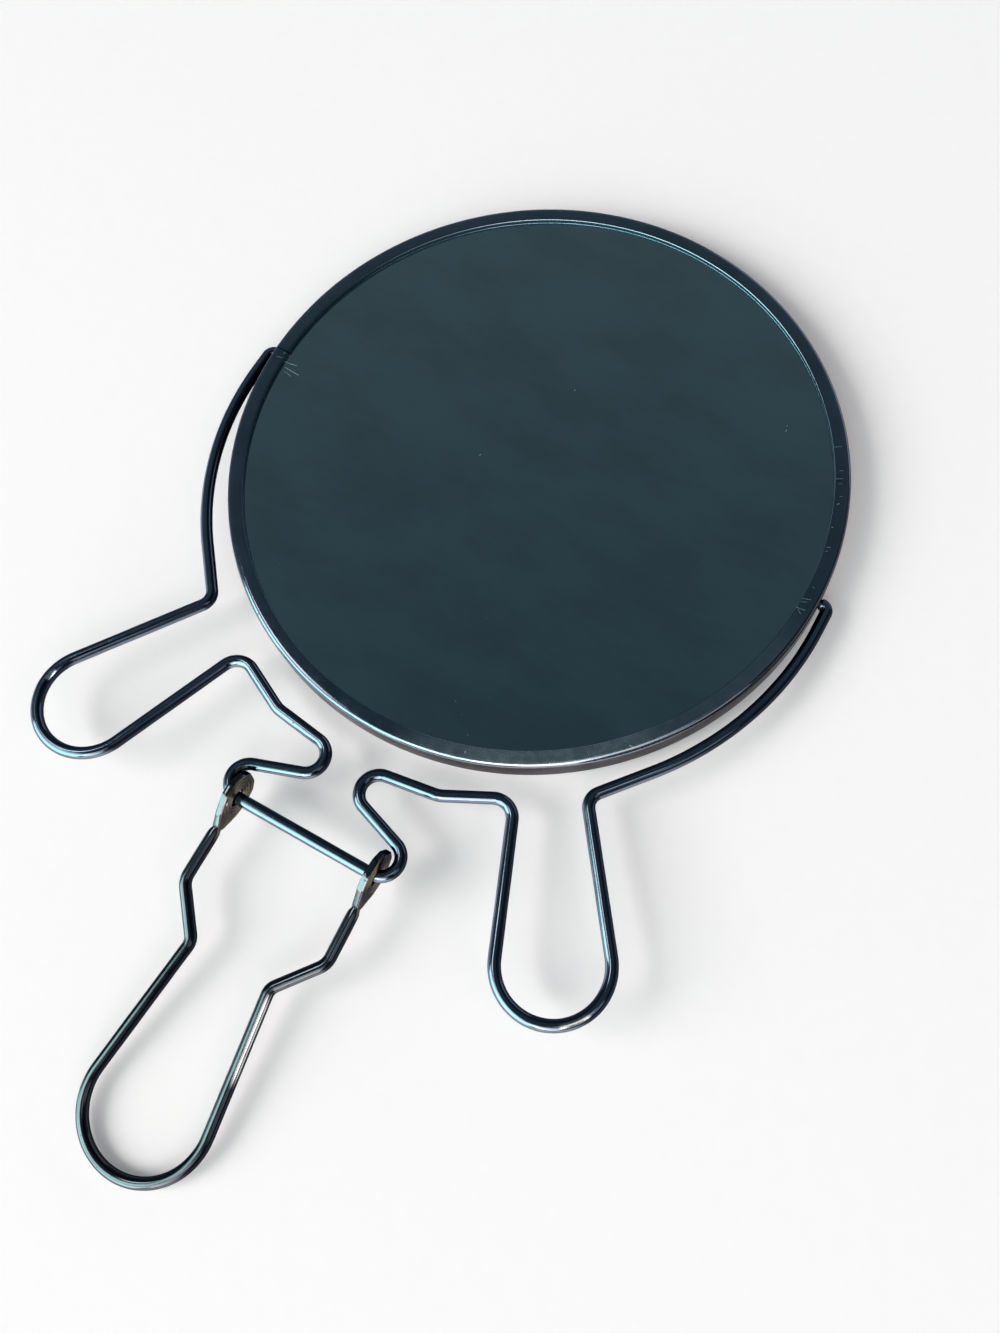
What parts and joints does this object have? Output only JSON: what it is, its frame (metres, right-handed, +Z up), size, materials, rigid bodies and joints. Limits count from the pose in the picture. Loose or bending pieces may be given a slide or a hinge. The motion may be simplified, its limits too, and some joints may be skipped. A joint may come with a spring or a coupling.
{
  "type": "compact mirror",
  "caption": "Round grooming mirror: a plated rim holds a plane and a magnifying glass and turns on pins in a bent-wire yoke with foot loops and a hinged wire leg to stand, hang or hold it.",
  "frame": {"origin": "below the middle of the whole object, on the table that the head lies on", "axes": "+Z up, out of the plane glass; +Y along the object from the leg's loop to the head; +X to the right, seen from above with the head at the top"},
  "size_m": [0.1572, 0.2586, 0.0155],
  "materials": {
    "rim_plating": "polished, lightly scratched",
    "plane_silver": "silvered",
    "magnifying_silver": "silvered",
    "fibreboard": "raw",
    "bare_steel": "plain",
    "yoke_plating": "polished, lightly worn",
    "leg_plating": "polished, lightly worn"
  },
  "bodies": {
    "mirror": {"rim_band": "rim_plating", "plane_glass": "plane_silver", "magnifying_glass": "magnifying_silver", "spacer_ring": "fibreboard", "joint_plate": "bare_steel"},
    "yoke": {"yoke_wire": "yoke_plating"},
    "leg": {"leg_wire": "leg_plating"}
  },
  "joints": [
    {"name": "mirror_tilt", "type": "hinge", "parent": "mirror", "child": "yoke", "pos_m": [0, 0.05427, 0.0037], "axis": [-1, 0, 0], "continuous": true},
    {"name": "leg_fold", "type": "hinge", "parent": "yoke", "child": "leg", "pos_m": [0, -0.04868, 0.00946], "axis": [1, 0, 0], "range_deg": [-154, 136]}
  ]
}
